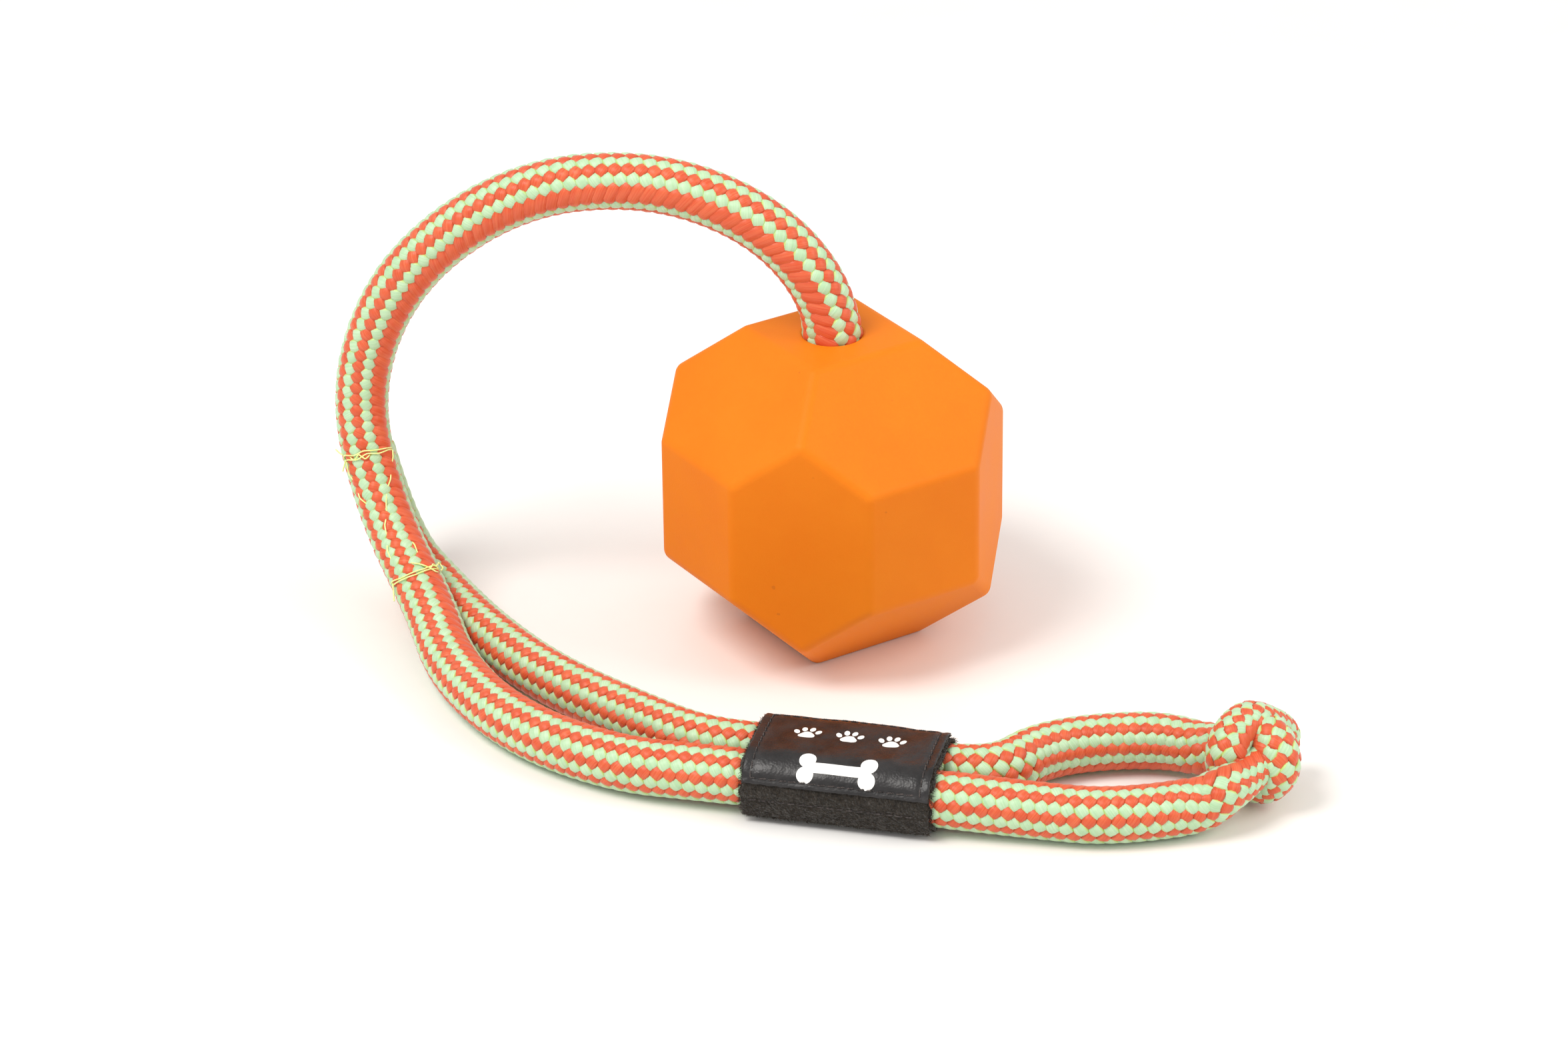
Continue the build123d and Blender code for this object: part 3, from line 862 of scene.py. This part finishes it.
def fuzz(name, spots, count, length, radius, seed, material, body):
    """Short curled fibres on the wrap. spots(rng, n) gives the t, z and r of their feet, and their lean."""
    rng = np.random.default_rng(seed)
    t, z, r, lean_t, lean_z = spots(rng, count)
    u = np.linspace(0, 1, 4)[:, None]
    reach = length * rng.uniform(0.5, 1.0, count)
    curl_t, curl_z = rng.normal(0, 0.8, (2, count))
    high = reach * (1.5 * u - 0.9 * u * u * rng.uniform(0.6, 1.4, count)) * rng.uniform(0.35, 1.0, count)
    T = t + reach * (lean_t * u + curl_t * u * u * 0.7)
    Z = z + reach * (lean_z * u + curl_z * u * u * 0.7)
    lines = wrapped(T, Z, r + high - 0.05 * MM, body == "flap").transpose(1, 0, 2)
    lines[..., 2] = np.maximum(lines[..., 2], 0.08 * MM)  # the fibres lie over on the floor
    return tubes_piece(name, lines, [radius, radius, radius * 0.8, radius * 0.4], 3, material, body)


band = closed_band()
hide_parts("band")


def band_ends(rng, n):
    side = rng.choice([-1.0, 1.0], n)
    t = rng.uniform(0, wrap_round, n)
    r = rng.uniform(band_inner, band_outer, n)
    z = side * (sleeve_half - rng.uniform(-0.25, 0.5, n) * MM)
    lean_t = rng.normal(0, 0.5, n)
    return t, z, r, lean_t, side * rng.uniform(0.4, 1.2, n)


band_fuzz = fuzz("band_fuzz", band_ends, 2800, 0.36 * MM, 0.045 * MM, 21, loop_fibre, "sleeve")

hook_ts = np.linspace(front_t(24), front_t(-28), 24)
hook_zs = np.linspace(-sleeve_half + 0.3 * MM, sleeve_half - 0.3 * MM, 60)
hooks = slab(
    "hook_tape_base",
    hook_ts,
    hook_zs,
    lambda t, z: np.full(t.shape, 5.48 * MM),
    lambda t, z: np.full(t.shape, 5.62 * MM),
    hook_tape,
    "sleeve",
    0.03 * MM,
)
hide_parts("hook_strip")


def hook_rows():
    """Rows of small hooks on the hook tape."""
    lines = []
    u = np.linspace(0, 1, 6)
    for row, t in enumerate(np.arange(front_t(22), front_t(-26), 0.62 * MM)):
        for z in np.arange(-sleeve_half + 0.9 * MM, sleeve_half - 0.9 * MM, 0.62 * MM):
            lean = 0.16 * MM * (1 if row % 2 else -1)
            bend = np.sin(u * math.pi * 0.75)
            lines.append(wrapped(t + lean * (1 - np.cos(u * math.pi * 0.9)), z, 5.60 * MM + 0.25 * MM * bend))
    return lines


hook_hooks = tubes_piece("hook_tape_hooks", hook_rows(), 0.05 * MM, 4, hook_tape, "sleeve")

backing_ts = np.linspace(flap_rear_t, free_edge_t, 96)
flap_zs = np.linspace(-flap_half, flap_half, 110)
backing = slab(
    "flap_loop_tape",
    backing_ts,
    flap_zs,
    lambda t, z: np.full(t.shape, backing_inner),
    backing_height,
    loop_tape,
    "flap",
    0.10 * MM,
    ragged=0.16 * MM,
    seed=31,
)
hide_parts("flap_backing")


def strip_face(rng, n):
    t = rng.uniform(front_t(22.5), free_edge_t, n)
    z = rng.uniform(-flap_half, flap_half, n)
    return t, z, backing_height(t, z), rng.normal(0, 0.6, n), rng.normal(0, 0.6, n)


def strip_edges(rng, n):
    lower = rng.random(n) < 0.62
    side = rng.choice([-1.0, 1.0], n)
    low = free_edge_t + rng.uniform(-0.3, 0.1, n) * MM
    t = np.where(lower, low, rng.uniform(flap_rear_t, free_edge_t, n))
    along = rng.uniform(-flap_half, flap_half, n)
    z = np.where(lower, along, side * (flap_half - rng.uniform(-0.1, 0.2, n) * MM))
    lean_t = np.where(lower, rng.uniform(0.3, 1.1, n), rng.normal(0, 0.4, n))
    lean_z = np.where(lower, rng.normal(0, 0.5, n), side * rng.uniform(0.3, 1.0, n))
    return t, z, rng.uniform(backing_inner, backing_outer, n), lean_t, lean_z


strip_fuzz = fuzz("strip_fuzz", strip_face, 4200, 0.42 * MM, 0.045 * MM, 22, loop_fibre, "flap")
edge_fuzz = fuzz(
    "flap_edge_fuzz", strip_edges, 2600, 0.38 * MM, 0.042 * MM, 23, loop_fibre, "flap"
)

label_ts = np.linspace(flap_rear_t, label_edge_t, 90)
label = slab(
    "label",
    label_ts,
    flap_zs,
    lambda t, z: backing_outer + 0.02 * MM + 0 * t,
    label_height,
    leatherette,
    "flap",
    0.05 * MM,
    ragged=0.05 * MM,
    seed=41,
)
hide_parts("label_panel")

# --- Print --------------------------------------------------------------------------------------------


def oval(x, y, a, b, tilt=0.0, count=28):
    """An oval's outline; x runs along the sleeve and y up the label, in millimetres."""
    angle = np.linspace(0, 2 * math.pi, count, endpoint=False)
    px, py = a * np.cos(angle), b * np.sin(angle)
    c, s = math.cos(math.radians(tilt)), math.sin(math.radians(tilt))
    return [(x + c * u - s * v, y + s * u + c * v) for u, v in zip(px, py)]


def paw(x, y):
    """A paw: a rounded pad and four toes."""
    pad = []
    for angle in np.linspace(0, 2 * math.pi, 36, endpoint=False):
        r = 1.28 + 0.16 * math.cos(3 * (angle - math.radians(90)))
        pad.append((x + 1.12 * r * math.cos(angle), y - 0.55 + 0.84 * r * math.sin(angle)))
    spread = ((-1.95, 0.55, 28), (-0.72, 1.50, 9), (0.72, 1.50, -9), (1.95, 0.55, -28))
    toes = [oval(x + u, y + v, 0.50, 0.74, tilt) for u, v, tilt in spread]
    return [pad, *toes]


def bone(x, y, length, width):
    """A bone: a shaft with two round knobs at each end."""
    knob = 0.8 * width
    cx, cy = length / 2, 0.75 * width
    start = math.atan2(width / 2 - cy, -math.sqrt(knob**2 - (cy - width / 2) ** 2))
    notch = math.atan2(-cy, math.sqrt(knob**2 - cy**2))
    angles = np.linspace(start + 2 * math.pi, notch, 22)
    arc = [(cx + knob * math.cos(a), cy + knob * math.sin(a)) for a in angles]
    right = arc + [(u, -v) for u, v in arc[-2::-1]]
    left = [(-u, -v) for u, v in right]
    return [(x + u, y + v) for u, v in right + left]


def print_piece():
    """The outlines cut into small patches, laid on the label as a film as thick as paint."""
    work = bmesh.new()
    shapes = [outline for x in (-7.6, 0.0, 7.6) for outline in paw(x, 0.9)]
    bone_y = -(front_t(57) / MM)
    shapes.append(bone(0.0, bone_y, 11.0, 1.9))
    for outline in shapes:
        work.faces.new([work.verts.new((x, y, 0.0)) for x, y in outline])
    for y in np.arange(-14.0, 6.0, 0.35):
        geometry = work.verts[:] + work.edges[:] + work.faces[:]
        bmesh.ops.bisect_plane(work, geom=geometry, plane_co=(0, y, 0), plane_no=(0, 1, 0))
    for x in np.arange(-12.0, 12.0, 0.8):
        geometry = work.verts[:] + work.edges[:] + work.faces[:]
        bmesh.ops.bisect_plane(work, geom=geometry, plane_co=(x, 0, 0), plane_no=(1, 0, 0))
    raised = bmesh.ops.extrude_face_region(work, geom=work.faces[:])
    for v in raised["geom"]:
        if isinstance(v, bmesh.types.BMVert):
            v.co.z = 1.0
    for v in work.verts:
        z, t, height = v.co.x * MM, -v.co.y * MM, (0.05 * v.co.z - 0.02) * MM
        v.co = Vector(wrapped(t, z, label_height(t, z) + height))
    bmesh.ops.recalc_face_normals(work, faces=work.faces)
    mesh = bpy.data.meshes.new("label_print_ink")
    work.to_mesh(mesh)
    work.free()
    mesh.materials.append(white_ink)
    obj = bpy.data.objects.new("label_print_ink", mesh)
    bpy.context.scene.collection.objects.link(obj)
    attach(obj, "flap")
    return obj


ink = print_piece()
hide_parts("label_print")

# --- Label sewing -------------------------------------------------------------------------------------

stitch_pitch = 1.75 * MM
stitch_length = 1.45 * MM
ply_r = 0.085 * MM


def stitch(t, z, turn, height):
    """One stitch of two twisted plies, lying on a face of the wrap and going in at both ends."""
    u = np.linspace(-0.5, 0.5, 13)
    plies = []
    for side in (0.0, math.pi):
        twist = 2 * math.pi * 2.0 * u + side
        across = 0.075 * MM * np.cos(twist)
        along = u * stitch_length
        T = t + along * math.cos(turn) - across * math.sin(turn)
        Z = z + along * math.sin(turn) + across * math.cos(turn)
        lift = 0.12 * MM - 0.34 * MM * (2 * np.abs(u)) ** 7 + 0.075 * MM * np.sin(twist)
        plies.append(wrapped(T, Z, height(T, Z) + lift))
    return plies


def seam(name, node, stations, height):
    lines = []
    for t, z, turn in stations:
        lines += stitch(t, z, turn, height)
    obj = tubes_piece(name, lines, ply_r, 5, black_thread, "flap")
    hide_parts(node)
    return obj


z_row = np.arange(-14.6, 14.7, stitch_pitch / MM) * MM
t_row = np.arange(top_seam_t + 0.9 * MM, bottom_seam_t, stitch_pitch)
along_z = math.pi / 2
slant = 0.10
seam("top_sewing", "top_seam", [(top_seam_t, z, along_z + slant) for z in z_row], label_height)
seam("bottom_sewing", "bottom_seam", [(bottom_seam_t, z, along_z + slant) for z in z_row], label_height)
seam("strip_sewing", "strip_seam", [(strip_seam_t, z, along_z + slant) for z in z_row], backing_height)
seam("left_sewing", "left_seam", [(t, -end_seam_z, slant) for t in t_row], label_height)
seam("right_sewing", "right_seam", [(t, end_seam_z, slant) for t in t_row], label_height)

# --- Ball ---------------------------------------------------------------------------------------------

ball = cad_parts["ball"]
ball.data.materials.clear()
ball.data.materials.append(rubber)

# --- Floor, light and camera --------------------------------------------------------------------------


def floor_piece():
    m = Shader("pale_floor", Roughness=0.6, Specular_IOR_Level=0.2)
    paper = m.noise(m.place(), 40.0, 4.0)
    material = m.finish(m.ramp(paper, (0.3, (0.905, 0.895, 0.880)), (0.7, (0.930, 0.920, 0.905))))
    size = 4.0
    corners = [(-size, -size, 0), (size, -size, 0), (size, size, 0), (-size, size, 0)]
    mesh = bpy.data.meshes.new("floor")
    mesh.from_pydata(corners, [], [(0, 1, 2, 3)])
    mesh.materials.append(material)
    obj = bpy.data.objects.new("floor", mesh)
    bpy.context.scene.collection.objects.link(obj)


def area_light(name, place, target, size, energy, colour):
    light = bpy.data.lights.new(name, "AREA")
    light.shape = "DISK"
    light.size = size
    light.energy = energy
    light.color = colour
    obj = bpy.data.objects.new(name, light)
    obj.location = place
    obj.rotation_euler = (Vector(target) - Vector(place)).to_track_quat("-Z", "Y").to_euler()
    bpy.context.scene.collection.objects.link(obj)


floor_piece()
world = bpy.data.worlds.new("studio")
world.use_nodes = True
world.node_tree.nodes["Background"].inputs["Color"].default_value = (1.0, 0.985, 0.965, 1.0)
world.node_tree.nodes["Background"].inputs["Strength"].default_value = 0.74
bpy.context.scene.world = world
area_light("key", (-0.5, -0.35, 0.95), (0, -0.03, 0.02), 0.55, 7.4, (1.0, 0.975, 0.94))
area_light("fill", (0.75, -0.25, 0.6), (0, -0.03, 0.02), 0.6, 3.1, (1.0, 0.965, 0.93))
bpy.context.scene.view_settings.view_transform = "Standard"

elevation = math.radians(27.1)
tilt = math.radians(-0.7)
right, forward = Vector((1, 0, 0)), Vector((0, math.cos(elevation), -math.sin(elevation)))
above = Vector((0, math.sin(elevation), math.cos(elevation)))
camera_data = bpy.data.cameras.new("camera")
camera_data.sensor_width = 36.0
camera_data.lens = 122.45
camera_data.clip_start, camera_data.clip_end = 0.05, 20.0
camera = bpy.data.objects.new("camera", camera_data)
x_axis = right * math.cos(tilt) + above * math.sin(tilt)
y_axis = above * math.cos(tilt) - right * math.sin(tilt)
camera.matrix_world = Matrix.Translation((-0.009249, -0.880830, 0.471972)) @ Matrix(
    (x_axis, y_axis, -forward)
).transposed().to_4x4()
bpy.context.scene.collection.objects.link(camera)
bpy.context.scene.camera = camera
